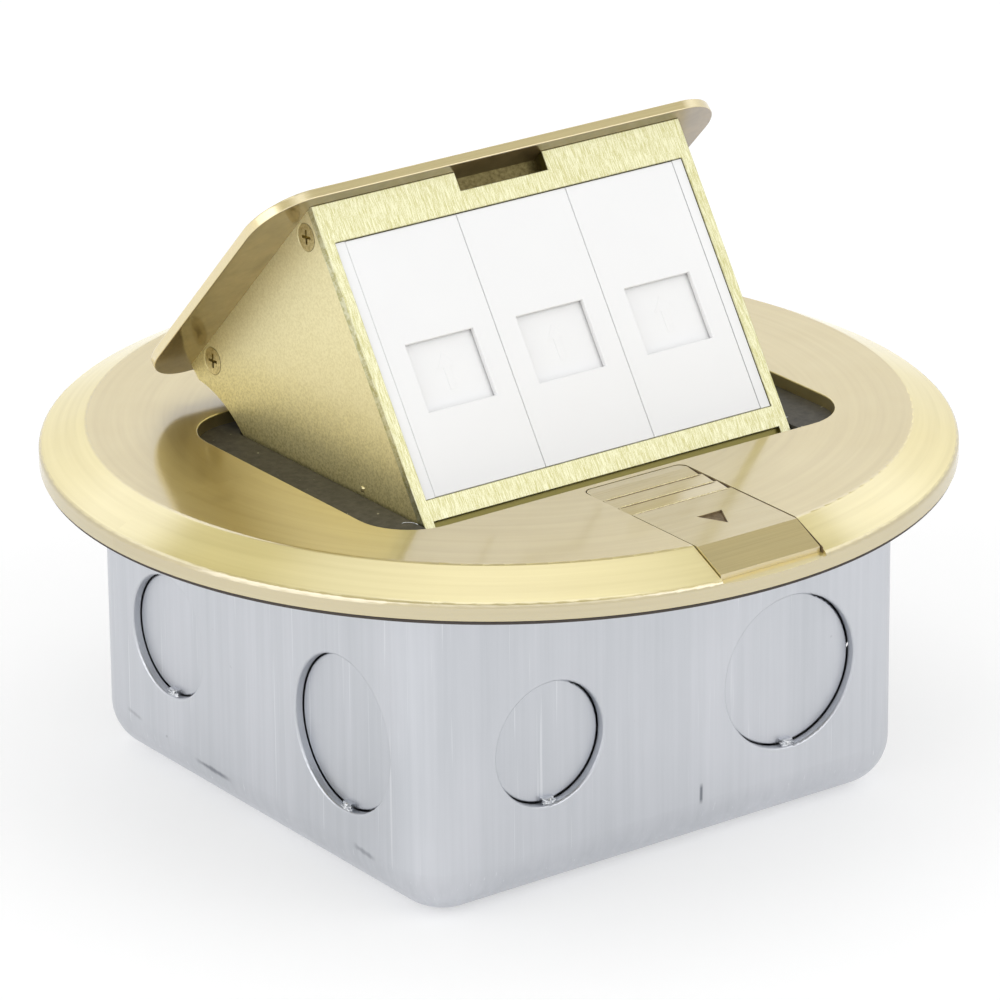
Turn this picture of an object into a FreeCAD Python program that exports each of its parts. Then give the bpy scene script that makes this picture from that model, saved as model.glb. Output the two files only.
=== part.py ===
import FreeCAD, Part
import os
import math
import Sketcher
from FreeCAD import Vector, Placement, Rotation

# Round floor socket box: a pressed steel box set in the floor, a bevelled round
# cover, and a carrier with three data modules that swings up through the cover.
# Frame: millimetres, +Z up, +X along the row of modules, -Y towards the user.
# The origin is the middle of the box's underside.
# The carrier's pieces are drawn as they lie when shut and placed swung open.

doc = FreeCAD.newDocument("FloorSocketBox")
sheet = doc.addObject("Spreadsheet::Sheet", "dims")

CELLS = [
    # pressed box
    ("box_side", 101.3), ("box_right", -0.45), ("box_back", 0.65), ("box_high", 60.8), ("floor_level", 57.6), ("wall", 1.5), ("box_corner", 9.8), ("box_bottom_round", 8.8),
    ("ko_high", 27.5), ("ko_large", 13.6), ("ko_small", 10.85), ("ko_off", 25.9), ("ko_recess", 1.6), ("ko_gap", 0.12),
    ("tab_wide", 2.2), ("tab_high", 1.5), ("ko_round", 0.4), ("fix_off", 30.0), ("fix_rad", 1.9), ("lug_off", 43.8), ("lug_rad", 1.7),
    # gasket
    ("gasket_rad", 77.0), ("gasket_thick", 0.8), ("gasket_inner", 69.0),
    # cover
    ("cover_rad", 77.87), ("flat_rad", 69.9), ("cover_top", 65.0), ("rim_top", 61.2), ("plate_thick", 2.2),
    ("hole_wide", 95.7), ("hole_front", 37.65), ("hole_rear", 27.0), ("hole_corner", 10.0),
    # inner frame
    ("ledge_thick", 2.0), ("ledge_half", 49.0), ("open_half", 38.3), ("open_front", 34.9), ("open_rear", 22.6),
    # hinge
    ("hinge_y", 36.7), ("hinge_z", 46.5), ("open_deg", 46.1), ("pin_rad", 1.5), ("hub_bore", 1.56), ("hub_rad", 4.5),
    # face of the carrier
    ("face_y", -29.26), ("face_z", 66.15), ("face_deg", 33.61), ("face_half", 37.85), ("face_top", 51.8),
    ("frame_thick", 1.5), ("win_half", 35.8), ("win_high", 45.0), ("band_low", 3.8), ("foot_low", 10.0),
    ("notch_half", 9.0), ("notch_low", 48.5), ("notch_deep", 3.0),
    # lid
    ("lid_half", 47.5), ("lid_front", 74.0), ("lid_rear", 15.0), ("lid_under", 16.7), ("lid_thick", 1.8), ("lid_corner", 9.6),
    # cheeks
    ("cheek_thick", 2.0), ("throat_rad", 22.3),
    # modules
    ("pitch", 22.5), ("module_wide", 22.4), ("skin_front", 0.35), ("skin_thick", 0.8),
    ("slot_wide", 13.7), ("slot_low", 13.9), ("slot_high", 11.8),
    ("shutter_front", 1.45), ("shutter_thick", 1.0), ("shutter_wide", 15.0), ("shutter_high", 13.2),
    # latch
    ("latch_left", -11.4), ("latch_right", 8.9), ("latch_in", 39.2), ("latch_out", 76.0), ("latch_thick", 1.7),
    ("slide_left", -11.55), ("slide_right", 9.25), ("tongue_half", 7.5),
]
VAL = {}
for i, (name, value) in enumerate(CELLS, start=1):
    sheet.set("A%d" % i, name)
    sheet.set("B%d" % i, repr(value))
    sheet.setAlias("B%d" % i, name)
    VAL[name] = value
doc.recompute()


class Size:
    """A length that carries both its number and the sheet expression behind it."""

    def __init__(self, num, text):
        self.num, self.text = float(num), text

    def _mix(self, other, sign, flip=False):
        o = other if isinstance(other, Size) else Size(other, "(%r)" % float(other))
        a, b = (o, self) if flip else (self, o)
        num = {"+": a.num + b.num, "-": a.num - b.num, "*": a.num * b.num}.get(sign)
        if sign == "/":
            num = a.num / b.num
        return Size(num, "(%s %s %s)" % (a.text, sign, b.text))

    def __add__(self, o): return self._mix(o, "+")
    def __radd__(self, o): return self._mix(o, "+", True)
    def __sub__(self, o): return self._mix(o, "-")
    def __rsub__(self, o): return self._mix(o, "-", True)
    def __mul__(self, o): return self._mix(o, "*")
    def __rmul__(self, o): return self._mix(o, "*", True)
    def __truediv__(self, o): return self._mix(o, "/")
    def __neg__(self): return Size(-self.num, "(-1 * %s)" % self.text)


class Dims:
    def __getattr__(self, name):
        return Size(VAL[name], "dims." + name)


d = Dims()


def num(x):
    return x.num if isinstance(x, Size) else float(x)


def bind(obj, prop, x):
    """Set a length and tie it to the sheet."""
    if isinstance(x, Size):
        obj.setExpression(prop, x.text)
    else:
        setattr(obj, prop, x)


def place(obj, x=0, y=0, z=0, axis=None, deg=0):
    rot = Rotation(axis, num(deg)) if axis else Rotation()
    obj.Placement = Placement(Vector(num(x), num(y), num(z)), rot)
    for key, v in (("x", x), ("y", y), ("z", z)):
        if isinstance(v, Size):
            obj.setExpression("Placement.Base." + key, v.text)
    if isinstance(deg, Size):
        obj.setExpression("Placement.Rotation.Angle", deg.text)
    return obj


def place_plain(obj, placement):
    """Give a shape a composed placement, free of any sheet expression on it."""
    for key in ("Base.x", "Base.y", "Base.z", "Rotation.Angle"):
        obj.setExpression("Placement." + key, None)
    obj.Placement = placement
    return obj


# --- sketch and solid helpers -------------------------------------------------

def plane(body, role):
    return [f for f in body.Origin.OriginFeatures if f.Role == role][0]


def new_sketch(body, role, lift=0):
    sk = body.newObject("Sketcher::SketchObject", body.Name + "_sketch")
    sk.AttachmentSupport = [(plane(body, role), "")]
    sk.MapMode = "FlatFace"
    if isinstance(lift, Size) or lift:
        sk.AttachmentOffset = Placement(Vector(0, 0, num(lift)), Rotation())
        if isinstance(lift, Size):
            sk.setExpression("AttachmentOffset.Base.z", lift.text)
    return sk


def fix_point(sk, geo, pos, x, y, only=None):
    """Hold a sketch point at x, y from the origin by driving dimensions."""
    for kind, v in (("DistanceX", x), ("DistanceY", y)):
        if only and kind != only:
            continue
        if abs(num(v)) < 1e-9:
            sk.addConstraint(Sketcher.Constraint("PointOnObject", geo, pos, -2 if kind == "DistanceX" else -1))
            continue
        c = sk.addConstraint(Sketcher.Constraint(kind, -1, 1, geo, pos, num(v)))
        if isinstance(v, Size):
            sk.setExpression("Constraints[%d]" % c, v.text)


def loop(sk, pts, arcs=None):
    """A closed outline through pts; arcs maps a side's number to (radius, centre x, centre y)."""
    arcs = arcs or {}
    n = len(pts)
    ids = []
    for i in range(n):
        a = Vector(num(pts[i][0]), num(pts[i][1]), 0)
        b = Vector(num(pts[(i + 1) % n][0]), num(pts[(i + 1) % n][1]), 0)
        if i in arcs:
            r, cx, cy = arcs[i]
            c = Vector(num(cx), num(cy), 0)
            mid = (a + b) * 0.5 - c
            if mid.Length < 1e-9:
                mid = Vector(-(b - a).y, (b - a).x, 0)
            mid = c + mid * (num(r) / mid.Length)
            ids.append(sk.addGeometry(Part.Arc(a, mid, b), False))
        else:
            ids.append(sk.addGeometry(Part.LineSegment(a, b), False))
    ends = []
    for i in range(n):
        g = sk.Geometry[ids[i]]
        first = g.StartPoint
        a = Vector(num(pts[i][0]), num(pts[i][1]), 0)
        ends.append((1, 2) if (first - a).Length < 1e-6 else (2, 1))
    for i in range(n):
        j = (i + 1) % n
        sk.addConstraint(Sketcher.Constraint("Coincident", ids[i], ends[i][1], ids[j], ends[j][0]))
    for i in range(n):
        fix_point(sk, ids[i], ends[i][0], pts[i][0], pts[i][1])
    for i, (r, cx, cy) in arcs.items():
        c = sk.addConstraint(Sketcher.Constraint("Radius", ids[i], num(r)))
        if isinstance(r, Size):
            sk.setExpression("Constraints[%d]" % c, r.text)
    return ids


def ring(sk, r, x=0, y=0):
    g = sk.addGeometry(Part.Circle(Vector(num(x), num(y), 0), Vector(0, 0, 1), num(r)), False)
    fix_point(sk, g, 3, x, y)
    c = sk.addConstraint(Sketcher.Constraint("Radius", g, num(r)))
    if isinstance(r, Size):
        sk.setExpression("Constraints[%d]" % c, r.text)
    return g


def box_pts(x0, x1, y0, y1):
    return [(x0, y0), (x1, y0), (x1, y1), (x0, y1)]


def round_box(sk, x0, x1, y0, y1, r):
    """A rectangle with four round corners."""
    pts = [(x0 + r, y0), (x1 - r, y0), (x1, y0 + r), (x1, y1 - r),
           (x1 - r, y1), (x0 + r, y1), (x0, y1 - r), (x0, y0 + r)]
    arcs = {1: (r, x1 - r, y0 + r), 3: (r, x1 - r, y1 - r), 5: (r, x0 + r, y1 - r), 7: (r, x0 + r, y0 + r)}
    return loop(sk, pts, arcs)


def body(name):
    b = doc.addObject("PartDesign::Body", name)
    b.Label = name
    return b


def pad(b, sk, length, flip=False):
    f = b.newObject("PartDesign::Pad", b.Name + "_pad")
    f.Profile = sk
    bind(f, "Length", length)
    f.Reversed = flip
    doc.recompute()
    b.Tip = f
    return f


def pocket(b, sk, length, flip=False, through=False):
    before = b.Shape.Volume
    f = b.newObject("PartDesign::Pocket", b.Name + "_pocket")
    f.Profile = sk
    if through:
        f.Type = 1
        f.Midplane = True
    else:
        bind(f, "Length", length)
    f.Reversed = flip
    doc.recompute()
    if b.Shape.Volume > before - 1e-4:
        raise RuntimeError("%s: a pocket cut nothing" % b.Name)
    b.Tip = f
    return f


def fillet(b, pick, r, kind="Fillet"):
    shape = b.Shape
    names = ["Edge%d" % (i + 1) for i, e in enumerate(shape.Edges) if pick(e)]
    if not names:
        raise RuntimeError("%s: no edges to round" % b.Name)
    tip = b.Tip
    f = b.newObject("PartDesign::" + kind, b.Name + "_" + kind.lower())
    f.Base = (tip, names)
    bind(f, "Radius" if kind == "Fillet" else "Size", r)
    doc.recompute()
    if not f.Shape.isValid() or f.Shape.isNull():
        raise RuntimeError("%s: %s failed" % (b.Name, kind))
    b.Tip = f
    return f


def upright(e):
    """An edge that runs along Z."""
    bb = e.BoundBox
    return bb.XLength < 1e-5 and bb.YLength < 1e-5 and bb.ZLength > 1e-3


def at_z(z, tol=1e-4):
    return lambda e: abs(e.BoundBox.ZMin - z) < tol and abs(e.BoundBox.ZMax - z) < tol


def prim_box(name, x0, x1, y0, y1, z0, z1):
    o = doc.addObject("Part::Box", name)
    for prop, a, b in (("Length", x0, x1), ("Width", y0, y1), ("Height", z0, z1)):
        v = b - a
        if isinstance(v, Size):
            setattr(o, prop, v.num)
            o.setExpression(prop, v.text)
        else:
            setattr(o, prop, v)
    place(o, x0, y0, z0)
    return o


def prim_cyl(name, r, length, x, y, z, axis=None, deg=0):
    o = doc.addObject("Part::Cylinder", name)
    o.Radius, o.Height = num(r), num(length)
    for prop, v in (("Radius", r), ("Height", length)):
        if isinstance(v, Size):
            o.setExpression(prop, v.text)
    place(o, x, y, z, axis, deg)
    return o


def prim_cone(name, r1, r2, length, x, y, z, axis=None, deg=0):
    o = doc.addObject("Part::Cone", name)
    o.Radius1, o.Radius2, o.Height = num(r1), num(r2), num(length)
    place(o, x, y, z, axis, deg)
    return o


def cut(name, base, tools):
    tool = tools[0] if len(tools) == 1 else fuse(name + "_tools", tools)
    o = doc.addObject("Part::Cut", name)
    o.Base, o.Tool = base, tool
    return o


def fuse(name, parts):
    if len(parts) == 1:
        return parts[0]
    o = doc.addObject("Part::MultiFuse", name)
    o.Shapes = parts
    return o


def rounded(name, base, pick, r):
    """A Part shape with the picked edges rounded."""
    doc.recompute()
    ids = [i + 1 for i, e in enumerate(base.Shape.Edges) if pick(e)]
    if not ids:
        raise RuntimeError(name + ": no edges to round")
    o = doc.addObject("Part::Fillet", name)
    o.Base = base
    o.Edges = [(i, num(r), num(r)) for i in ids]
    doc.recompute()
    if o.Shape.isNull() or not o.Shape.isValid():
        raise RuntimeError(name + ": rounding failed")
    return o


def group(name, parts):
    """Separate solids that share one node."""
    o = doc.addObject("Part::Compound", name)
    o.Links = parts
    return o


X, Y, Z = Vector(1, 0, 0), Vector(0, 1, 0), Vector(0, 0, 1)
NODES = []


def node(obj, name):
    obj.Label = name
    NODES.append((name, obj))
    return obj


def in_lid_frame(obj):
    """Drawn about the hinge axis as it lies shut, placed swung open."""
    return place(obj, 0, d.hinge_y, d.hinge_z, X, -d.open_deg)


def in_face_frame(obj):
    """Drawn on the carrier's face: x across, y into the carrier, z up the face."""
    return place(obj, 0, d.face_y, d.face_z, X, -d.face_deg)


# --- pressed steel box ----------------------------------------------------------

half = d.box_side / 2
# the pressing is bent up a little to one side of the cover's middle
xl, xr = d.box_right - half, d.box_right + half
yf, yb = d.box_back - half, d.box_back + half
shell = body("box_shell")
sk = new_sketch(shell, "XY_Plane")
round_box(sk, xl, xr, yf, yb, d.box_corner)
pad(shell, sk, d.box_high)
fillet(shell, at_z(0.0), d.box_bottom_round)
doc.recompute()
top_face = ["Face%d" % (i + 1) for i, f in enumerate(shell.Shape.Faces)
            if abs(f.BoundBox.ZMin - VAL["box_high"]) < 1e-4]
tip = shell.Tip
th = shell.newObject("PartDesign::Thickness", "box_shell_hollow")
th.Base = (tip, top_face)
th.setExpression("Value", d.wall.text)
th.Reversed = True
doc.recompute()
shell.Tip = th

# knockouts: (face, offset along the face, radius); each disc is pushed in and held by one tab
kos = [("left", -d.ko_off, d.ko_large), ("left", d.ko_off, d.ko_small),
       ("front", -d.ko_off - 0.4, d.ko_small), ("front", d.ko_off - 2.2, d.ko_large),
       ("right", -d.ko_off, d.ko_small), ("right", d.ko_off, d.ko_large),
       ("rear", -d.ko_off + 2.2, d.ko_large), ("rear", d.ko_off + 0.4, d.ko_small)]
holes, discs = [], []
for i, (side, off, r) in enumerate(kos):
    sgn = -1 if side in ("left", "front") else 1
    wall = {"left": xl, "right": xr, "front": yf, "rear": yb}[side]
    disc_face = num(wall) - sgn * VAL["ko_recess"]
    t0 = (wall - d.ko_recess - d.wall * 0.6) if sgn > 0 else (wall + 0.75)
    t1 = (wall - 0.75) if sgn > 0 else (wall + d.ko_recess + d.wall * 0.6)
    if side in ("left", "right"):
        hx = (wall - d.wall - 1.0) if sgn > 0 else (wall - 1.0)
        holes.append(prim_cyl("ko_hole_%d" % i, r, d.wall + 2.0, hx, off, d.ko_high, Y, 90))
        dx = (wall - d.ko_recess - d.wall) if sgn > 0 else (wall + d.ko_recess)
        disc = prim_cyl("ko_disc_%d" % i, r - d.ko_gap, d.wall, dx, off, d.ko_high, Y, 90)
        discs.append(rounded("ko_disc_round_%d" % i, disc, lambda e: e.BoundBox.XLength < 1e-4 and abs(e.BoundBox.XMin - disc_face) < 1e-4, d.ko_round))
        discs.append(prim_box("ko_tab_%d" % i, t0, t1, off - d.tab_wide / 2, off + d.tab_wide / 2,
                              d.ko_high - r - 0.5, d.ko_high - r + d.tab_high - 0.5))
    else:
        hy = (wall + 1.0) if sgn > 0 else (wall + d.wall + 1.0)
        holes.append(prim_cyl("ko_hole_%d" % i, r, d.wall + 2.0, off, hy, d.ko_high, X, 90))
        dy = (wall - d.ko_recess) if sgn > 0 else (wall + d.ko_recess + d.wall)
        disc = prim_cyl("ko_disc_%d" % i, r - d.ko_gap, d.wall, off, dy, d.ko_high, X, 90)
        discs.append(rounded("ko_disc_round_%d" % i, disc, lambda e: e.BoundBox.YLength < 1e-4 and abs(e.BoundBox.YMin - disc_face) < 1e-4, d.ko_round))
        discs.append(prim_box("ko_tab_%d" % i, off - d.tab_wide / 2, off + d.tab_wide / 2, t0, t1,
                              d.ko_high - r - 0.5, d.ko_high - r + d.tab_high - 0.5))
for i, (sx, sy) in enumerate([(-1, -1), (1, -1), (1, 1), (-1, 1)]):
    holes.append(prim_cyl("fix_hole_%d" % i, d.fix_rad, d.wall + 2.0, d.fix_off * sx, d.fix_off * sy, -1.0))

# corner lugs, folded in at the top, tapped for the inner frame's screws
lugs = []
for i in range(4):
    lg = body("lug_%d" % i)
    sk = new_sketch(lg, "XY_Plane")
    a = d.lug_off - 2.6
    w = Size(49.9, "49.9")
    loop(sk, [(a, a), (w, a), (w, a + 0.4), (d.lug_off + 2.4, d.lug_off + 2.4), (a + 0.4, w), (a, w)])
    pad(lg, sk, d.wall)
    sk = new_sketch(lg, "XY_Plane")
    ring(sk, d.lug_rad, d.lug_off, d.lug_off)
    pocket(lg, sk, d.wall * 2, flip=True)
    place(lg, 0, 0, d.box_high - d.wall, Z, 90 * i)
    lugs.append(lg)
# room in the front wall for the latch's boss
holes.append(prim_box("latch_gap", Size(-14.8, "-14.8"), Size(12.8, "12.8"), yf - 1.0, yf + d.wall + 0.6, Size(58.3, "58.3"), d.box_high + 1.0))
cut_shell = cut("box_cut", shell, holes)


def ko_rim(e):
    """The outer rim of a knockout's hole."""
    bb = e.BoundBox
    flat_x = bb.XLength < 1e-3 and min(abs(bb.XMin - num(xl)), abs(bb.XMin - num(xr))) < 1e-3
    flat_y = bb.YLength < 1e-3 and min(abs(bb.YMin - num(yf)), abs(bb.YMin - num(yb))) < 1e-3
    return (flat_x or flat_y) and 20.0 < bb.ZLength < 28.0 and bb.ZMin > 10.0 and bb.ZMax < 45.0


cut_shell = rounded("box_rims", cut_shell, ko_rim, d.ko_round)
node(fuse("back_box", [cut_shell] + discs + lugs), "back_box")

# --- gasket ---------------------------------------------------------------------

b = body("gasket")
sk = new_sketch(b, "XY_Plane")
ring(sk, d.gasket_rad)
ring(sk, d.gasket_inner)
pad(b, sk, d.gasket_thick)
place(b, 0, 0, d.floor_level)
node(b, "gasket")

# --- cover ----------------------------------------------------------------------

base_z = d.floor_level + d.gasket_thick
b = body("cover_flange")
sk = new_sketch(b, "XZ_Plane")
under = d.cover_top - d.plate_thick
loop(sk, [(0, under), (d.flat_rad - 2.4, under), (d.flat_rad - 0.4, base_z + 1.8), (d.flat_rad + 2.1, base_z),
          (d.cover_rad, base_z), (d.cover_rad, d.rim_top), (d.flat_rad, d.cover_top), (0, d.cover_top)])
rev = b.newObject("PartDesign::Revolution", "cover_turned")
rev.Profile = sk
rev.ReferenceAxis = (sk, ["V_Axis"])
rev.Angle = 360
doc.recompute()
b.Tip = rev
# boss that carries the latch
sk = new_sketch(b, "XY_Plane", d.cover_top - d.plate_thick - 3.2)
loop(sk, box_pts(Size(-14.0, "-14"), Size(12.0, "12"), Size(-72.2, "-72.2"), Size(-38.3, "-38.3")))
pad(b, sk, Size(3.4, "3.4"))
# opening for the carrier
sk = new_sketch(b, "XY_Plane", d.cover_top + 1.0)
round_box(sk, -d.hole_wide / 2, d.hole_wide / 2, -d.hole_front, d.hole_rear, d.hole_corner)
pocket(b, sk, d.plate_thick + 1.5)
fillet(b, lambda e: abs(e.BoundBox.ZMin - 65.0) < 1e-4 and abs(e.BoundBox.ZMax - 65.0) < 1e-4
       and max(abs(e.BoundBox.XMin), abs(e.BoundBox.XMax)) < 48.2, 0.25)
fillet(b, lambda e: abs(e.BoundBox.ZMin - 65.0) < 1e-4 and abs(e.BoundBox.ZMax - 65.0) < 1e-4
       and max(abs(e.BoundBox.XMin), abs(e.BoundBox.XMax)) > 60, 1.6)
fillet(b, lambda e: abs(e.BoundBox.ZMin - 61.2) < 1e-4 and abs(e.BoundBox.ZMax - 61.2) < 1e-4
       and max(abs(e.BoundBox.XMin), abs(e.BoundBox.XMax)) > 60, 1.0)
# slot for the latch: flat floor, then sloping down with the bevel
sk = new_sketch(b, "YZ_Plane", d.slide_left)
top = d.cover_top
loop(sk, [(Size(-38.95, "-38.95"), top + 1.0), (Size(-38.95, "-38.95"), top - 2.0), (Size(-69.45, "-69.45"), top - 2.0),
          (Size(-80.0, "-80"), top - 5.01), (Size(-80.0, "-80"), top + 1.0)])
pocket(b, sk, d.slide_right - d.slide_left, flip=True)
fillet(b, lambda e: upright(e) and abs(e.BoundBox.YMin + 38.95) < 1e-3 and e.BoundBox.ZMin > 62.9, 1.7)
# way through for the tongue, and the spring's channel behind it
sk = new_sketch(b, "XY_Plane", top - 1.0)
loop(sk, box_pts(Size(-7.9, "-7.9"), Size(7.9, "7.9"), Size(-48.9, "-48.9"), Size(-38.95, "-38.95")))
pocket(b, sk, Size(6.0, "6"))
sk = new_sketch(b, "XY_Plane", top - 2.3)
loop(sk, box_pts(Size(-7.9, "-7.9"), Size(7.9, "7.9"), Size(-39.0, "-39"), Size(-38.2, "-38.2")))
pocket(b, sk, Size(4.0, "4"))
sk = new_sketch(b, "XY_Plane", top - 6.0)
loop(sk, box_pts(Size(-1.7, "-1.7"), Size(1.7, "1.7"), Size(-57.0, "-57"), Size(-46.0, "-46")))
pocket(b, sk, Size(3.2, "3.2"), flip=True)
node(b, "cover_flange")

# --- inner frame, the dark ledge round the carrier --------------------------------

b = body("inner_plate")
sk = new_sketch(b, "XY_Plane")
round_box(sk, -d.ledge_half, d.ledge_half, -d.ledge_half, d.ledge_half, Size(9.0, "9"))
pad(b, sk, d.ledge_thick)
sk = new_sketch(b, "XY_Plane")
round_box(sk, -d.open_half, d.open_half, -d.open_front, d.open_rear, Size(1.6, "1.6"))
pocket(b, sk, d.ledge_thick * 2, flip=True)
sk = new_sketch(b, "XY_Plane")
loop(sk, [(-14.4, -50.0), (12.4, -50.0), (12.4, -37.9), (7.9, -37.9), (7.9, -34.0), (-7.9, -34.0), (-7.9, -37.9), (-14.4, -37.9)])
pocket(b, sk, d.ledge_thick * 2, flip=True)
place(b, 0, 0, d.cover_top - d.plate_thick - d.ledge_thick)
sinks = []
for i, (sx, sy) in enumerate([(-1, -1), (1, -1), (1, 1), (-1, 1)]):
    zt = d.cover_top - d.plate_thick
    sinks.append(prim_cyl("frame_sink_hole_%d" % i, d.lug_rad, 4.0, d.lug_off * sx, d.lug_off * sy, zt - 3.0))
    sinks.append(prim_cone("frame_sink_cone_%d" % i, VAL["lug_rad"], 3.4, 1.7, d.lug_off * sx, d.lug_off * sy, zt - 1.7))
node(cut("inner_frame", b, sinks), "inner_frame")

screws = []
for i, (sx, sy) in enumerate([(-1, -1), (1, -1), (1, 1), (-1, 1)]):
    zt = d.cover_top - d.plate_thick
    shank = prim_cyl("frame_screw_shank_%d" % i, d.lug_rad, 8.8, d.lug_off * sx, d.lug_off * sy, zt - 8.8)
    head = prim_cone("frame_screw_head_%d" % i, VAL["lug_rad"], 3.4, 1.7, d.lug_off * sx, d.lug_off * sy, zt - 1.7)
    one = fuse("frame_screw_%d" % i, [shank, head])
    c1 = prim_box("frame_screw_c1_%d" % i, d.lug_off * sx - 1.9, d.lug_off * sx + 1.9, d.lug_off * sy - 0.35, d.lug_off * sy + 0.35, zt - 1.2, zt + 0.5)
    c2 = prim_box("frame_screw_c2_%d" % i, d.lug_off * sx - 0.35, d.lug_off * sx + 0.35, d.lug_off * sy - 1.9, d.lug_off * sy + 1.9, zt - 1.2, zt + 0.5)
    screws.append(cut("frame_screw_cut_%d" % i, one, [c1, c2]))
node(group("frame_screws", screws), "frame_screws")

# --- hinge: brackets, pins and the springs that throw the carrier up --------------

for side, s in (("left", -1), ("right", 1)):
    xa, xb, xc = (38.4, 40.4, 46.8)
    lo, hi = (xa, xb) if s > 0 else (-xb, -xa)
    flo, fhi = (xa, xc) if s > 0 else (-xc, -xa)
    zt = d.cover_top - d.plate_thick - d.ledge_thick
    arm = prim_box("bracket_arm_" + side, lo, hi, d.hinge_y - 4.3, d.hinge_y + 4.3, d.hinge_z, zt)
    eye = prim_cyl("bracket_eye_" + side, 4.3, 2.0, lo, d.hinge_y, d.hinge_z, Y, 90)
    foot = prim_box("bracket_foot_" + side, flo, fhi, d.hinge_y - 4.3, d.hinge_y + 4.3, zt - 2.0, zt)
    bore = prim_cyl("bracket_bore_" + side, d.pin_rad, 4.0, lo - 1.0, d.hinge_y, d.hinge_z, Y, 90)
    node(cut("hinge_bracket_" + side, fuse("bracket_" + side, [arm, eye, foot]), [bore]), "hinge_bracket_" + side)

    plo = 29.4 if s > 0 else -41.4
    pin = prim_cyl("pin_rod_" + side, d.pin_rad, 12.0, plo, d.hinge_y, d.hinge_z, Y, 90)
    head = prim_cyl("pin_head_" + side, 2.6, 1.0, 40.4 if s > 0 else -41.4, d.hinge_y, d.hinge_z, Y, 90)
    cap = prim_cyl("pin_cap_" + side, 2.3, 0.8, 28.6 if s > 0 else -29.4, d.hinge_y, d.hinge_z, Y, 90)
    node(fuse("hinge_pin_" + side, [pin, head, cap]), "hinge_pin_" + side)

    # torsion spring: a close coil round the pin, one end up to the inner frame, one along the arm
    r, wire, turns, lead = 2.35, 0.35, 5.25, 0.93
    helix = Part.makeHelix(lead, lead * turns, r)
    run = Vector(0, 2 * math.pi * r, lead).normalize()
    start, tail = Vector(r, 0, 0), helix.Vertexes[-1].Point
    if (tail - start).Length < 1e-3:
        tail = helix.Vertexes[0].Point
    turned = Rotation(Z, 360.0 * turns).multVec(run)
    first, last = start - run * 9.0, tail + turned * 9.5
    path = Part.Wire([Part.makeLine(first, start)] + helix.Edges + [Part.makeLine(tail, last)])
    prof = Part.Wire([Part.makeCircle(wire, first, run)])
    coil = path.makePipeShell([prof], True, True)
    spin = 0.0
    if s > 0:
        coil.Placement = Placement(Vector(30.0, VAL["hinge_y"], VAL["hinge_z"]), Rotation(Y, 90)).multiply(Placement(Vector(), Rotation(Z, spin)))
    else:
        coil = coil.mirror(Vector(), Z)
        coil.Placement = Placement(Vector(-30.0, VAL["hinge_y"], VAL["hinge_z"]), Rotation(Y, 90)).multiply(Placement(Vector(), Rotation(Z, spin)))
    sp = doc.addObject("Part::Feature", "hinge_spring_" + side)
    sp.Shape = coil
    node(sp, "hinge_spring_" + side)

# --- lid --------------------------------------------------------------------------

b = body("lid_blank")
sk = new_sketch(b, "XY_Plane", d.lid_under)
round_box(sk, -d.lid_half, d.lid_half, -d.lid_front, -d.lid_rear, d.lid_corner)
pad(b, sk, d.lid_thick)
zt = VAL["lid_under"] + VAL["lid_thick"]
fillet(b, at_z(zt), 0.35)
fillet(b, at_z(VAL["lid_under"]), 0.2)
in_lid_frame(b)
lid = b

# --- front frame --------------------------------------------------------------------

b = body("front_frame")
fh, wh, ft = d.face_half, d.win_half, d.frame_thick
sk = new_sketch(b, "XZ_Plane")
loop(sk, [(-fh, -d.foot_low), (-wh, -d.foot_low), (-wh, -d.band_low), (wh, -d.band_low), (wh, -d.foot_low), (fh, -d.foot_low),
          (fh, d.face_top), (d.notch_half, d.face_top), (d.notch_half, d.notch_low), (-d.notch_half, d.notch_low),
          (-d.notch_half, d.face_top), (-fh, d.face_top)])
rr = Size(0.3, "0.3")
loop(sk, [(-wh, 0), (wh, 0), (wh, d.win_high - rr), (wh - rr, d.win_high), (-wh + rr, d.win_high), (-wh, d.win_high - rr)],
     {2: (rr, wh - rr, d.win_high - rr), 4: (rr, -wh + rr, d.win_high - rr)})
pad(b, sk, ft, flip=True)
if abs(b.Shape.BoundBox.YMin) > 1e-6:
    raise RuntimeError("front frame padded the wrong way")
fillet(b, lambda e: abs(e.BoundBox.YMin) < 1e-4 and abs(e.BoundBox.YMax) < 1e-4, 0.16)
# lip behind the bottom band, set back from the face
sk = new_sketch(b, "XZ_Plane", Size(-0.9, "-0.9"))
loop(sk, box_pts(-wh - 0.3, wh + 0.3, -d.foot_low, -d.band_low + 0.3))
pad(b, sk, ft - 0.9, flip=True)
# stop hooks on the two feet: they meet the underside of the inner frame when the carrier is up
for s in (-1, 1):
    sk = new_sketch(b, "XZ_Plane")
    if s < 0:
        loop(sk, box_pts(-fh, -wh, -d.foot_low, -d.foot_low + 1.4))
    else:
        loop(sk, box_pts(wh, fh, -d.foot_low, -d.foot_low + 1.4))
    pad(b, sk, Size(2.6, "2.6"))
# the top edge leans to lie flat under the lid
sk = new_sketch(b, "YZ_Plane")
lean_slope = math.tan(math.radians(VAL["open_deg"] - VAL["face_deg"]))
loop(sk, [(-1.0, d.face_top + lean_slope), (4.0, d.face_top - 4.0 * lean_slope), (4.0, d.face_top + 3.0), (-1.0, d.face_top + 3.0)])
pocket(b, sk, 1.0, through=True)
in_face_frame(b)
node(b, "front_frame")

# --- cheeks -----------------------------------------------------------------------------

# the face's base point and its two directions, seen in the lid's frame
fy = d.face_y - d.hinge_y
fz = d.face_z - d.hinge_z
ca, sa = math.cos(math.radians(VAL["open_deg"])), math.sin(math.radians(VAL["open_deg"]))
F0 = (num(fy) * ca - num(fz) * sa, num(fy) * sa + num(fz) * ca)
lean = math.radians(VAL["open_deg"] - VAL["face_deg"])


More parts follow.
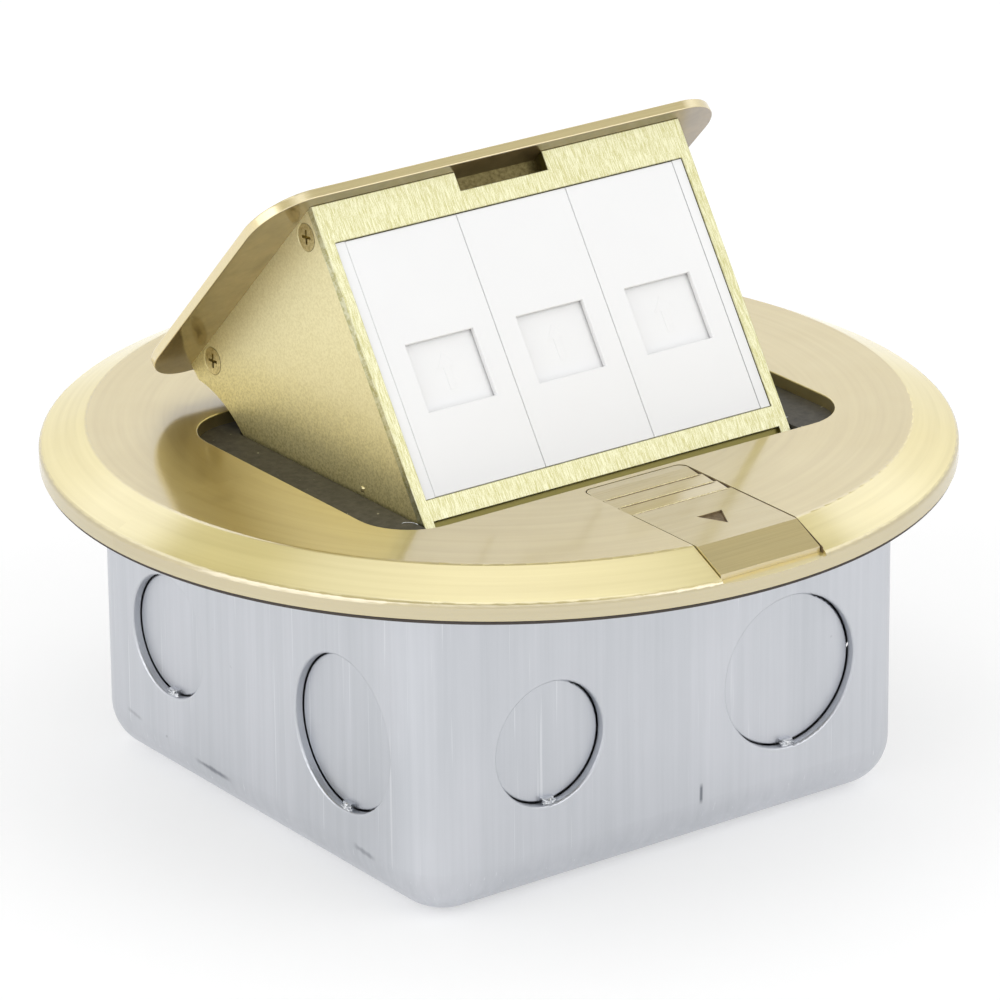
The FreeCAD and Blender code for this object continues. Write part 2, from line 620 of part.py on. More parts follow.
def on_face(v, n):
    """Lid-frame (y, z) of a point v up the face and n into the carrier."""
    return (F0[0] - v * math.sin(lean) + n * math.cos(lean), F0[1] + v * math.cos(lean) + n * math.sin(lean))


def face_at_under(n, z):
    """Where the line n behind the face reaches height z in the lid's frame."""
    v = (z - F0[1] - n * math.sin(lean)) / math.cos(lean)
    return on_face(v, n)


R = VAL["throat_rad"]
lu = VAL["lid_under"]
ft_ = VAL["frame_thick"]
v0 = face_at_under(ft_, lu)
y1 = -17.55
v2 = (y1, math.sqrt(R * R - y1 * y1))
v3 = (-math.sqrt(R * R - 2.33 ** 2), -2.33)
foot = on_face(-VAL["foot_low"], ft_)
cheek_pts = [v0, (y1, lu), v2, v3, (-1.0, -2.33), (0.0, -4.2), (-22.0, -12.5), (-42.0, -31.0), (foot[0] + 7.0, foot[1] + 1.55), foot]

FRONT_SCREW = (-65.8, 13.85)
REAR_SCREW = (-24.05, 13.75)
HEAD_R, SHANK_R, HEAD_DEEP = 2.35, 1.0, 1.35

for side, s in (("left", -1), ("right", 1)):
    b = body("cheek_blank_" + side)
    lift = d.face_half - d.cheek_thick if s > 0 else -d.face_half
    sk = new_sketch(b, "YZ_Plane", lift)
    loop(sk, cheek_pts, {2: (d.throat_rad, 0, 0)})
    pad(b, sk, d.cheek_thick)
    sk = new_sketch(b, "YZ_Plane", lift)
    ring(sk, d.hub_rad)
    pad(b, sk, d.cheek_thick)
    sk = new_sketch(b, "YZ_Plane", lift)
    ring(sk, d.hub_bore)
    pocket(b, sk, d.cheek_thick, flip=True)
    tools = []
    for k, (yy, zz) in enumerate((FRONT_SCREW, REAR_SCREW)):
        if s > 0:
            tools.append(prim_cone("cheek_cone_%s_%d" % (side, k), SHANK_R, HEAD_R + 0.12, HEAD_DEEP, d.face_half - HEAD_DEEP, yy, zz, Y, 90))
            tools.append(prim_cyl("cheek_bore_%s_%d" % (side, k), SHANK_R, 4.0, d.face_half - 4.0, yy, zz, Y, 90))
        else:
            tools.append(prim_cone("cheek_cone_%s_%d" % (side, k), HEAD_R + 0.12, SHANK_R, HEAD_DEEP, -d.face_half, yy, zz, Y, 90))
            tools.append(prim_cyl("cheek_bore_%s_%d" % (side, k), SHANK_R, 4.0, -d.face_half, yy, zz, Y, 90))
    c = cut(side + "_cheek", b, tools)
    in_lid_frame(c)
    node(c, side + "_cheek")

# --- bars between the cheeks -------------------------------------------------------------

bar_half = d.face_half - d.cheek_thick
b = body("top_bar_blank")
sk = new_sketch(b, "YZ_Plane", -bar_half)
low = face_at_under(ft_, 11.7)
loop(sk, [v0, low, (-61.5, low[1]), (-61.5, lu)])
pad(b, sk, bar_half * 2)
# pocket behind the notch, cut square to the face
tools = []
nb = prim_box("notch_cut", -d.notch_half, d.notch_half, 0.5, d.notch_deep, d.notch_low, d.face_top + 3.0)
place_plain(nb, Placement(Vector(0, F0[0], F0[1]), Rotation(X, math.degrees(lean))).multiply(
    Placement(Vector(-VAL["notch_half"], 0.5, VAL["notch_low"]), Rotation())))
tools.append(nb)
LID_SCREW_X = 25.0
for s in (-1, 1):
    tools.append(prim_cyl("top_tap_%d" % (s + 1), SHANK_R, 9.0, (VAL["face_half"] - 9.0) if s > 0 else -VAL["face_half"], FRONT_SCREW[0], FRONT_SCREW[1], Y, 90))
    tools.append(prim_cyl("top_lid_hole_%d" % (s + 1), SHANK_R, 12.0, LID_SCREW_X * s, -64.6, low[1] - 2.0))
    tools.append(prim_cone("top_lid_sink_%d" % (s + 1), 2.0, SHANK_R, 1.2, LID_SCREW_X * s, -64.6, low[1]))
c = cut("top_bar", b, tools)
in_lid_frame(c)
node(c, "top_bar")

rb = prim_box("rear_bar_blank", -bar_half, bar_half, Size(-28.2, "-28.2"), Size(-20.3, "-20.3"), Size(10.4, "10.4"), d.lid_under)
tools = []
for s in (-1, 1):
    tools.append(prim_cyl("rear_tap_%d" % (s + 1), SHANK_R, 9.0, (VAL["face_half"] - 9.0) if s > 0 else -VAL["face_half"], REAR_SCREW[0], REAR_SCREW[1], Y, 90))
    tools.append(prim_cyl("rear_lid_hole_%d" % (s + 1), SHANK_R, 12.0, LID_SCREW_X * s, -24.2, 8.0))
    tools.append(prim_cone("rear_lid_sink_%d" % (s + 1), 2.0, SHANK_R, 1.2, LID_SCREW_X * s, -24.2, 10.4))
c = cut("rear_bar", rb, tools)
in_lid_frame(c)
node(c, "rear_bar")

# lid with blind tapped holes for those screws
tools = [prim_cyl("lid_tap_%d_%d" % (s + 1, k), SHANK_R, 1.3, LID_SCREW_X * s, yy, lu) for s in (-1, 1) for k, yy in enumerate((-64.6, -24.2))]
place_plain(lid, Placement())
c = cut("lid_plate", lid, tools)
in_lid_frame(c)
node(c, "lid_plate")

parts = []
for s in (-1, 1):
    for k, (yy, z_low) in enumerate(((-64.6, low[1]), (-24.2, 10.4))):
        sh = prim_cyl("lid_screw_shank_%d_%d" % (s + 1, k), SHANK_R, lu + 1.3 - z_low, LID_SCREW_X * s, yy, z_low)
        hd = prim_cone("lid_screw_head_%d_%d" % (s + 1, k), 2.0, SHANK_R, 1.2, LID_SCREW_X * s, yy, z_low)
        x1 = prim_box("lid_screw_slot_%d_%d" % (s + 1, k), LID_SCREW_X * s - 1.2, LID_SCREW_X * s + 1.2, yy - 0.25, yy + 0.25, z_low - 0.5, z_low + 0.8)
        x2 = prim_box("lid_screw_slotb_%d_%d" % (s + 1, k), LID_SCREW_X * s - 0.25, LID_SCREW_X * s + 0.25, yy - 1.2, yy + 1.2, z_low - 0.5, z_low + 0.8)
        parts.append(cut("lid_screw_%d_%d" % (s + 1, k), fuse("lid_screw_body_%d_%d" % (s + 1, k), [sh, hd]), [x1, x2]))
g = group("lid_screws", parts)
in_lid_frame(g)
node(g, "lid_screws")

# countersunk cross-head screws through the cheeks
parts = []
for side, s in (("left", -1), ("right", 1)):
    for k, (yy, zz) in enumerate((FRONT_SCREW, REAR_SCREW)):
        tag = "%s_%d" % (side, k)
        if s > 0:
            hd = prim_cone("cs_head_" + tag, SHANK_R, HEAD_R, HEAD_DEEP, d.face_half - HEAD_DEEP, yy, zz, Y, 90)
            sh = prim_cyl("cs_shank_" + tag, SHANK_R, 8.5, d.face_half - 9.0, yy, zz, Y, 90)
            c0, c1 = d.face_half - 1.0, d.face_half + 0.5
        else:
            hd = prim_cone("cs_head_" + tag, HEAD_R, SHANK_R, HEAD_DEEP, -d.face_half, yy, zz, Y, 90)
            sh = prim_cyl("cs_shank_" + tag, SHANK_R, 8.5, -d.face_half + 0.5, yy, zz, Y, 90)
            c0, c1 = -d.face_half - 0.5, -d.face_half + 1.0
        body_ = fuse("cs_body_" + tag, [hd, sh])
        # the cross stands square to the driver, turned a little on each screw
        turn = 40.0 + 3.0 * k
        bars = []
        for q in (0, 1):
            bx = doc.addObject("Part::Box", "cs_cross_%s_%d" % (tag, q))
            bx.Length, bx.Width, bx.Height = 1.5, 2.5, 0.5
            base = Placement(Vector(num(c0), yy, zz), Rotation(X, turn + 90 * q))
            bx.Placement = base.multiply(Placement(Vector(0, -1.25, -0.25), Rotation()))
            bars.append(bx)
        parts.append(cut("cs_" + tag, body_, bars))
g = group("cheek_screws", parts)
in_lid_frame(g)
node(g, "cheek_screws")

# --- modules --------------------------------------------------------------------------------

for k in (1, 2, 3):
    u0 = d.pitch * (k - 2)
    mw = d.module_wide / 2
    sf, st = d.skin_front, d.skin_thick
    sw = d.slot_wide / 2
    # white face plate: a thin skin with a rim, open behind
    b = body("module_plate_%d" % k)
    sk = new_sketch(b, "XZ_Plane", -sf)
    loop(sk, box_pts(u0 - mw, u0 + mw, Size(0.1, "0.1"), Size(44.9, "44.9")))
    pad(b, sk, Size(6.6, "6.6"), flip=True)
    sk = new_sketch(b, "XZ_Plane", -sf - st)
    loop(sk, box_pts(u0 - mw + 1.0, u0 + mw - 1.0, Size(1.1, "1.1"), Size(43.9, "43.9")))
    pocket(b, sk, Size(7.0, "7"))
    sk = new_sketch(b, "XZ_Plane", -sf + 1.0)
    loop(sk, box_pts(u0 - sw, u0 + sw, d.slot_low, d.slot_low + d.slot_high))
    pocket(b, sk, Size(2.4, "2.4"))
    fillet(b, lambda e: abs(e.BoundBox.YMin - VAL["skin_front"]) < 1e-4 and abs(e.BoundBox.YMax - VAL["skin_front"]) < 1e-4, 0.16)
    in_face_frame(b)
    node(b, "module_plate_%d" % k)

    # jack with the plate that holds it in the module
    plate = prim_box("jack_plate_%d" % k, u0 - mw + 1.1, u0 + mw - 1.1, Size(2.9, "2.9"), Size(4.1, "4.1"), Size(1.2, "1.2"), Size(43.8, "43.8"))
    house = prim_box("jack_house_%d" % k, u0 - 7.4, u0 + 7.4, Size(4.0, "4"), Size(24.0, "24"), Size(11.3, "11.3"), Size(28.3, "28.3"))
    port = prim_box("jack_port_%d" % k, u0 - 5.9, u0 + 5.9, Size(2.0, "2"), Size(18.0, "18"), Size(15.2, "15.2"), Size(22.0, "22"))
    tab = prim_box("jack_tab_%d" % k, u0 - 3.1, u0 + 3.1, Size(2.0, "2"), Size(18.0, "18"), Size(21.9, "21.9"), Size(24.4, "24.4"))
    cap = prim_box("jack_cap_%d" % k, u0 - 6.4, u0 + 6.4, Size(23.9, "23.9"), Size(27.5, "27.5"), Size(13.3, "13.3"), Size(25.3, "25.3"))
    j = cut("jack_body_%d" % k, fuse("jack_solid_%d" % k, [plate, house, cap]), [port, tab])
    in_face_frame(j)
    node(j, "jack_body_%d" % k)

    wires = []
    for w in range(8):
        x0 = u0 + (-3.57 + 1.02 * w) - 0.18
        bx = doc.addObject("Part::Box", "jack_wire_%d_%d" % (k, w))
        bx.Length, bx.Width, bx.Height = 0.36, 10.5, 0.3
        place(bx, x0, 7.0, 15.25, X, 14)
        wires.append(bx)
    g = group("jack_contacts_%d" % k, wires)
    in_face_frame(g)
    node(g, "jack_contacts_%d" % k)

    # shutter, behind the skin, slides up the face
    b = body("shutter_%d" % k)
    sk = new_sketch(b, "XZ_Plane", -d.shutter_front)
    mid = d.slot_low + d.slot_high / 2
    loop(sk, box_pts(u0 - d.shutter_wide / 2, u0 + d.shutter_wide / 2, mid - d.shutter_high / 2, mid + d.shutter_high / 2))
    pad(b, sk, d.shutter_thick, flip=True)
    in_face_frame(b)
    node(b, "shutter_%d" % k)

for side, s in (("left", -1), ("right", 1)):
    a = d.pitch * 1.5 + 0.05
    c = d.win_half - 0.1
    lo, hi = (a, c) if s > 0 else (-c, -a)
    sp = prim_box("spacer_" + side, lo, hi, d.skin_front, Size(5.0, "5"), Size(0.1, "0.1"), Size(44.9, "44.9"))
    # drawn straight, then laid on the face from its own corner
    place_plain(sp, Placement(Vector(0, VAL["face_y"], VAL["face_z"]), Rotation(X, -VAL["face_deg"])).multiply(
        Placement(Vector(num(lo), VAL["skin_front"], 0.1), Rotation())))
    node(sp, "spacer_" + side)

# return springs of the shutters, each in the pocket above its shutter
base = Placement(Vector(0, VAL["face_y"], VAL["face_z"]), Rotation(X, -VAL["face_deg"]))
for k in (1, 2, 3):
    u0 = VAL["pitch"] * (k - 2)
    z0 = VAL["slot_low"] + VAL["slot_high"] / 2 + VAL["shutter_high"] / 2 + 0.15
    length = 43.6 - z0
    hx = Part.makeHelix(length / 11, length, 0.42)
    prof = Part.Wire([Part.makeCircle(0.11, Vector(0.42, 0, 0), Vector(0, 1, 0))])
    coil = Part.Wire(hx.Edges).makePipeShell([prof], True, True)
    coil.Placement = base.multiply(Placement(Vector(u0 + 5.0, 2.0, z0), Rotation()))
    sp = doc.addObject("Part::Feature", "shutter_spring_%d" % k)
    sp.Shape = coil
    node(sp, "shutter_spring_%d" % k)

# --- latch --------------------------------------------------------------------------------------

b = body("latch_blank")
top = d.cover_top
sk = new_sketch(b, "YZ_Plane", d.latch_left)
slope = (VAL["rim_top"] - VAL["cover_top"]) / (VAL["cover_rad"] - VAL["flat_rad"])
z_out = VAL["cover_top"] + slope * (VAL["latch_out"] - VAL["flat_rad"])
loop(sk, [(-d.latch_in, top), (-d.latch_in, top - d.latch_thick), (Size(-69.45, "-69.45"), top - d.latch_thick),
          (-d.latch_out, z_out - 0.95), (-d.latch_out, z_out), (-d.flat_rad, top),
          # three saw teeth, steep side towards the opening
          (-52.5, top), (-52.2, top - 0.42), (-48.7, top), (-48.4, top - 0.42), (-44.7, top), (-44.4, top - 0.42), (-41.0, top)])
pad(b, sk, d.latch_right - d.latch_left)
fillet(b, lambda e: e.BoundBox.YLength < 1e-4 and e.BoundBox.ZLength < 1e-4 and abs(e.BoundBox.ZMin - VAL["cover_top"]) < 1e-4
       and any(abs(e.BoundBox.YMin - y) < 1e-3 for y in (-52.5, -48.7, -44.7)), 0.22)
fillet(b, lambda e: upright(e) and abs(e.BoundBox.YMin + VAL["latch_in"]) < 1e-4, 1.6)
sk = new_sketch(b, "XY_Plane", top - 0.5)
loop(sk, [(-3.5, -59.5), (-0.95, -64.5), (1.6, -59.5)])
pocket(b, sk, Size(2.0, "2"), flip=True)
# post and tongue, under the cover's front edge
th = d.tongue_half
post = prim_box("latch_post", -th, th, Size(-45.5, "-45.5"), Size(-42.9, "-42.9"), top - 4.1, top - d.latch_thick + 0.2)
tongue = prim_box("latch_tongue", -th, th, Size(-45.5, "-45.5"), Size(-32.9, "-32.9"), top - 4.1, top - 2.5)
node(fuse("latch_slider", [b, post, tongue]), "latch_slider")

# spring behind the post
length = 10.2
turns = 9
hx = Part.makeHelix(length / turns, length, 1.0)
prof = Part.Wire([Part.makeCircle(0.15, Vector(1.0, 0, 0), Vector(0, 1, 0))])
coil = Part.Wire(hx.Edges).makePipeShell([prof], True, True)
coil.Placement = Placement(Vector(0, -45.85, 60.9), Rotation(X, 90))
sp = doc.addObject("Part::Feature", "latch_spring")
sp.Shape = coil
node(sp, "latch_spring")

# keeper under the boss
kz = d.cover_top - d.plate_thick - 3.2
keep = prim_box("keeper_plate", Size(-13.0, "-13"), Size(11.0, "11"), Size(-66.0, "-66"), Size(-46.6, "-46.6"), kz - 0.8, kz)
k_holes = [prim_cyl("keeper_hole_%d" % i, 0.9, 4.0, x, -61.0, kz - 2.0) for i, x in enumerate((-8.0, 6.0))]
node(cut("latch_keeper", keep, k_holes), "latch_keeper")

# --- check and write ---------------------------------------------------------------------------------

doc.recompute()
bad = [o.Name for o in doc.Objects if "Invalid" in o.State or "Error" in o.State]
if bad:
    raise RuntimeError("failed objects: %s" % bad)
os.makedirs("parts", exist_ok=True)
for name, obj in NODES:
    s = obj.Shape
    if s.isNull() or not s.isValid() or not s.Solids:
        raise RuntimeError("bad shape: " + name)
    s.exportStep("parts/%s.step" % name)
    bb = s.BoundBox
    print("%-22s solids %2d  vol %9.1f  x %7.2f..%7.2f y %7.2f..%7.2f z %7.2f..%7.2f" % (
        name, len(s.Solids), s.Volume, bb.XMin, bb.XMax, bb.YMin, bb.YMax, bb.ZMin, bb.ZMax))
print("nodes", len(NODES))
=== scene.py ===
import math

import bpy
import bmesh
from mathutils import Matrix, Vector


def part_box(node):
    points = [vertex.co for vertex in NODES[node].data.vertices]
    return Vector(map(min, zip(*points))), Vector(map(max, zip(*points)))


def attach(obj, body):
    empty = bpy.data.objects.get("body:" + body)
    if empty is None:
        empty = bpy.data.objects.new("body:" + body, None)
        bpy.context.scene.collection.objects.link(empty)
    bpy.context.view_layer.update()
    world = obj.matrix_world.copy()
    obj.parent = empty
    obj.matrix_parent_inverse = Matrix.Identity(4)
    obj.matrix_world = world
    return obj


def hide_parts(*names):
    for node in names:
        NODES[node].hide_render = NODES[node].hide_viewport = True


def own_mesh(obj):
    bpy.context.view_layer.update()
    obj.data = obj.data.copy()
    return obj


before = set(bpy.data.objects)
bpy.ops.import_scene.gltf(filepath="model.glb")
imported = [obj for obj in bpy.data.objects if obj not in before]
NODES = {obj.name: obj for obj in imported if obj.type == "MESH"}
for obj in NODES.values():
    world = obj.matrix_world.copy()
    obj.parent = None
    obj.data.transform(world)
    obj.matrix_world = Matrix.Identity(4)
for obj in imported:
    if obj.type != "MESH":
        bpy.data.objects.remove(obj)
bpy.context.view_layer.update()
scene = bpy.context.scene

# The carrier's face: a base point, and its directions across, inwards and up, in metres.
TILT = math.radians(33.61)
FACE = Matrix.Translation((0, -0.02926, 0.06615)) @ Matrix.Rotation(-TILT, 4, "X")
MM = 0.001


# --- materials ------------------------------------------------------------------

def lin(r, g, b):
    """An sRGB colour, 0 to 255, as the linear one the shader wants."""
    def one(c):
        c /= 255.0
        return c / 12.92 if c <= 0.04045 else ((c + 0.055) / 1.055) ** 2.4
    return (one(r), one(g), one(b), 1.0)


class Mat:
    """A Principled material and the few nodes that vary it."""

    def __init__(self, name, base, metallic=0.0, rough=0.5, **more):
        self.m = bpy.data.materials.new(name)
        self.m.use_nodes = True
        self.n = self.m.node_tree.nodes
        self.l = self.m.node_tree.links
        self.p = self.n["Principled BSDF"]
        self.base = base
        self.p.inputs["Base Color"].default_value = base
        self.p.inputs["Metallic"].default_value = metallic
        self.p.inputs["Roughness"].default_value = rough
        for key, value in more.items():
            self.p.inputs[key.replace("_", " ")].default_value = value
        self.co = None
        self.height = None

    def coords(self, scale=(1, 1, 1), turn=(0, 0, 0)):
        """Places on the piece itself, in metres, stretched and turned."""
        if self.co is None:
            self.co = self.n.new("ShaderNodeTexCoord")
        mp = self.n.new("ShaderNodeMapping")
        mp.inputs["Rotation"].default_value = turn
        first = self.n.new("ShaderNodeMapping")
        first.inputs["Rotation"].default_value = turn
        mp.inputs["Rotation"].default_value = (0, 0, 0)
        mp.inputs["Scale"].default_value = scale
        self.l.new(self.co.outputs["Object"], first.inputs["Vector"])
        self.l.new(first.outputs["Vector"], mp.inputs["Vector"])
        return mp.outputs["Vector"]

    def turned(self, scale=(1, 1, 1)):
        """Radius, angle and height as coordinates, for marks that run round the Z axis."""
        if self.co is None:
            self.co = self.n.new("ShaderNodeTexCoord")
        sep = self.n.new("ShaderNodeSeparateXYZ")
        self.l.new(self.co.outputs["Object"], sep.inputs[0])
        r2 = self.math("ADD", self.math("MULTIPLY", sep.outputs[0], sep.outputs[0]), self.math("MULTIPLY", sep.outputs[1], sep.outputs[1]))
        r = self.math("POWER", r2, 0.5)
        a = self.math("ARCTAN2", sep.outputs[1], sep.outputs[0])
        com = self.n.new("ShaderNodeCombineXYZ")
        self.l.new(self.math("MULTIPLY", r, scale[0]), com.inputs[0])
        self.l.new(self.math("MULTIPLY", a, scale[1]), com.inputs[1])
        self.l.new(self.math("MULTIPLY", sep.outputs[2], scale[2]), com.inputs[2])
        return com.outputs[0]

    def axis(self, index, turn=(0, 0, 0)):
        """One coordinate of the piece, in metres."""
        v = self.coords((1, 1, 1), turn)
        sep = self.n.new("ShaderNodeSeparateXYZ")
        self.l.new(v, sep.inputs[0])
        return sep.outputs[index]

    def math(self, op, a, b=None, clamp=False):
        nd = self.n.new("ShaderNodeMath")
        nd.operation = op
        nd.use_clamp = clamp
        for i, v in enumerate((a, b)):
            if v is None:
                continue
            if isinstance(v, (int, float)):
                nd.inputs[i].default_value = v
            else:
                self.l.new(v, nd.inputs[i])
        return nd.outputs[0]

    def noise(self, vector, scale=1.0, detail=3.0, rough=0.55):
        nd = self.n.new("ShaderNodeTexNoise")
        nd.inputs["Scale"].default_value = scale
        nd.inputs["Detail"].default_value = detail
        nd.inputs["Roughness"].default_value = rough
        self.l.new(vector, nd.inputs["Vector"])
        return nd.outputs["Fac"]

    def vec(self, op, a, b):
        """Vector maths; a dot product gives a number."""
        nd = self.n.new("ShaderNodeVectorMath")
        nd.operation = op
        for i, v in enumerate((a, b)):
            if isinstance(v, tuple):
                nd.inputs[i].default_value = v
            else:
                self.l.new(v, nd.inputs[i])
        return nd.outputs["Value" if op == "DOT_PRODUCT" else "Vector"]

    def facing(self, way, a, b):
        """0 to 1 as the piece's own surface turns to look along way."""
        if self.co is None:
            self.co = self.n.new("ShaderNodeTexCoord")
        return self.range(self.vec("DOT_PRODUCT", self.co.outputs["Normal"], way), a, b, 0.0, 1.0)

    def ramp(self, fac, stops):
        """fac through a curve of (place, value) stops; value is a number or a colour."""
        nd = self.n.new("ShaderNodeValToRGB")
        cr = nd.color_ramp
        while len(cr.elements) < len(stops):
            cr.elements.new(0.5)
        for el, (at, v) in zip(cr.elements, stops):
            el.position = at
            el.color = (v, v, v, 1) if isinstance(v, (int, float)) else v
        self.l.new(fac, nd.inputs[0])
        return nd.outputs[0]

    def range(self, fac, a, b, c, d):
        nd = self.n.new("ShaderNodeMapRange")
        nd.clamp = True
        for key, v in (("From Min", a), ("From Max", b), ("To Min", c), ("To Max", d)):
            nd.inputs[key].default_value = v
        self.l.new(fac, nd.inputs["Value"])
        return nd.outputs[0]

    def mix(self, fac, a, b, blend="MIX"):
        nd = self.n.new("ShaderNodeMix")
        nd.data_type = "RGBA"
        nd.blend_type = blend
        nd.clamp_factor = True
        for sock, v in ((nd.inputs[0], fac), (nd.inputs[6], a), (nd.inputs[7], b)):
            if isinstance(v, (int, float, tuple)):
                sock.default_value = v
            else:
                self.l.new(v, sock)
        return nd.outputs[2]

    def colour(self, out):
        self.l.new(out, self.p.inputs["Base Color"])

    def roughness(self, out):
        self.l.new(out, self.p.inputs["Roughness"])

    def bump(self, fac, depth, strength=1.0):
        """Adds a relief of that depth in metres."""
        nd = self.n.new("ShaderNodeBump")
        nd.inputs["Strength"].default_value = strength
        nd.inputs["Distance"].default_value = depth
        self.l.new(fac, nd.inputs["Height"])
        if self.height is not None:
            self.l.new(self.height, nd.inputs["Normal"])
        self.height = nd.outputs["Normal"]
        self.l.new(self.height, self.p.inputs["Normal"])

    def tangent(self, axis="Z"):
        nd = self.n.new("ShaderNodeTangent")
        nd.direction_type = "RADIAL"
        nd.axis = axis
        self.l.new(nd.outputs[0], self.p.inputs["Tangent"])


BRASS = lin(240, 229, 182)
RAW = (0.72, 0.59, 0.24, 1)           # the metal under its lacquer
UNDER = (0.0, -0.7206, -0.6934)       # the way the lid's underside looks while it stands open

# the round cover: flat top and bevel turned and lacquered, fine marks run round it
cover = Mat("cover_brass", RAW, 1.0, 0.5, Coat_Weight=1.0, Coat_Roughness=0.12, Coat_IOR=3.2, Anisotropic=0.25)
cover.tangent("Z")
steep_shade_mask = cover.facing((0, 0, 1), 0.55, 0.86)
mark = cover.noise(cover.turned((9000, 3.0, 9000)), 1.0, 2.0)
broad = cover.noise(cover.turned((700, 1.2, 700)), 1.0, 3.0)
cover.bump(mark, 0.000004, 0.2)
flat_top_shade_mask = cover.facing((0, 0, 1), 0.94, 0.985)
# the colour goes by which way the surface faces: a painted highlight on the bevel, painted shade on the steep rim and
# on the flat top
facing_shade_tone = cover.mix(steep_shade_mask, (0.50, 0.405, 0.155, 1), (0.90, 0.77, 0.29, 1))
facing_shade_tone = cover.mix(flat_top_shade_mask, facing_shade_tone, (0.70, 0.565, 0.215, 1))
deep = cover.mix(0.5, facing_shade_tone, cover.mix(1.0, facing_shade_tone, (0.80, 0.76, 0.60, 1), "MULTIPLY"))
cover.colour(cover.mix(cover.range(broad, 0.35, 0.7, 0.0, 0.8), facing_shade_tone, deep))
haze = cover.noise(cover.coords((70, 70, 70)), 1.0, 3.0)
cover.roughness(cover.range(haze, 0.3, 0.7, 0.44, 0.54))

# the latch: the same brass, brushed across
latch = Mat("latch_brass", RAW, 1.0, 0.5, Coat_Weight=1.0, Coat_Roughness=0.13, Coat_IOR=2.7)
across = latch.noise(latch.coords((40, 5200, 5200)), 1.0, 2.0)
latch.bump(across, 0.000006, 0.35)
latch.colour(latch.mix(latch.range(across, 0.35, 0.7, 0.0, 0.5), (0.63, 0.51, 0.21, 1), (0.52, 0.41, 0.15, 1)))
latch.roughness(latch.range(latch.noise(latch.coords((90, 500, 90)), 1.0, 3.0), 0.3, 0.7, 0.42, 0.55))

# the lid, brushed along the row outside, and painted darker inside as painted shade on its underside
lid = Mat("lid_brass", RAW, 1.0, 0.42, Coat_Weight=1.0, Coat_Roughness=0.12, Coat_IOR=2.6)
along = lid.noise(lid.coords((50, 5000, 5000), (TILT, 0, 0)), 1.0, 2.0)
lid.bump(along, 0.000005, 0.35)
inside = lid.facing(UNDER, 0.55, 0.8)
stain = lid.noise(lid.coords((160, 160, 160)), 1.0, 4.0, 0.6)
# painted shade: the underside's darker brown, varied at random
underside_shade = lid.mix(lid.range(stain, 0.35, 0.68, 0.0, 1.0), (0.34, 0.25, 0.12, 1), (0.24, 0.175, 0.08, 1))
lid.colour(lid.mix(inside, lid.mix(lid.range(along, 0.35, 0.7, 0.0, 0.4), (0.76, 0.63, 0.30, 1), (0.62, 0.50, 0.20, 1)), underside_shade))
lid.roughness(lid.range(inside, 0.0, 1.0, 0.38, 0.5))

# the cheeks, blasted, and painted darker towards the ledge: painted shade near the ledge
cheek = Mat("cheek_brass", lin(232, 221, 170), 1.0, 0.5)
grit = cheek.noise(cheek.coords((2600, 2600, 2600)), 1.0, 3.0, 0.6)
cheek.bump(grit, 0.00003, 0.35)
patch = cheek.noise(cheek.coords((240, 240, 240)), 1.0, 4.0, 0.65)
high = cheek.range(cheek.math("ADD", cheek.axis(2), cheek.math("MULTIPLY", patch, 0.006)), 0.066, 0.082, 0.0, 1.0)
# painted shade: the lower cheek, near the ledge, gets the darker colours
ledge_shade_tone = cheek.mix(cheek.range(grit, 0.38, 0.66, 0.0, 0.6), lin(240, 229, 170), lin(176, 164, 104))
good = cheek.mix(cheek.range(grit, 0.38, 0.66, 0.0, 0.4), lin(242, 234, 192), lin(208, 196, 140))
cheek.colour(cheek.mix(high, ledge_shade_tone, good))

# the bars inside: a cast skin in relief, coloured dark all over as painted shade in the notch where they show
bar = Mat("bar_shade_brass", lin(120, 110, 74), 1.0, 0.5)
rough_skin = bar.noise(bar.coords((1500, 1500, 1500)), 1.0, 4.0, 0.6)
bar.bump(rough_skin, 0.00005, 0.4)
bar.colour(bar.mix(bar.range(rough_skin, 0.35, 0.7, 0.0, 1.0), lin(126, 116, 78), lin(92, 82, 52)))

# the face's frame, brushed up the face with a coarse grit
face = Mat("face_brass", lin(210, 206, 162), 1.0, 0.4)
line = face.noise(face.coords((7500, 700, 520), (TILT, 0, 0)), 1.0, 3.0, 0.75)
grain = face.noise(face.coords((9000, 900, 5200), (TILT, 0, 0)), 1.0, 2.0, 0.6)
both = face.math("ADD", face.math("MULTIPLY", line, 0.72), face.math("MULTIPLY", grain, 0.28))
face.bump(both, 0.00004, 0.5)
plate = face.mix(face.range(both, 0.41, 0.60, 0.0, 1.0), lin(221, 219, 188), lin(182, 177, 122))
# painted shade: surfaces set back behind the face plane, between the legs, in the notch and recesses, are coloured dark
# olive
back_of = face.vec("DOT_PRODUCT", face.vec("SUBTRACT", face.coords(), (0.0, -0.02926, 0.06615)), (0.0, math.cos(TILT), -math.sin(TILT)))
recess_shade_span = face.range(face.math("ABSOLUTE", face.axis(0)), 0.0364, 0.0370, 1.0, 0.0)
face.colour(face.mix(face.math("MULTIPLY", face.range(back_of, 0.00022, 0.00034, 0.0, 1.0), recess_shade_span), plate, lin(122, 114, 66)))

ledge = Mat("ledge_dark", lin(70, 67, 58), 0.1, 0.6)
lg = ledge.noise(ledge.coords((900, 900, 900)), 1.0, 4.0, 0.6)
ledge.bump(lg, 0.00006, 0.5)
speck = ledge.range(ledge.noise(ledge.coords((700, 700, 700)), 1.0, 1.0), 0.74, 0.78, 0.0, 1.0)
dark = ledge.mix(ledge.range(lg, 0.35, 0.7, 0.0, 1.0), lin(58, 55, 47), lin(80, 76, 66))
ledge.colour(ledge.mix(speck, dark, lin(150, 144, 120)))

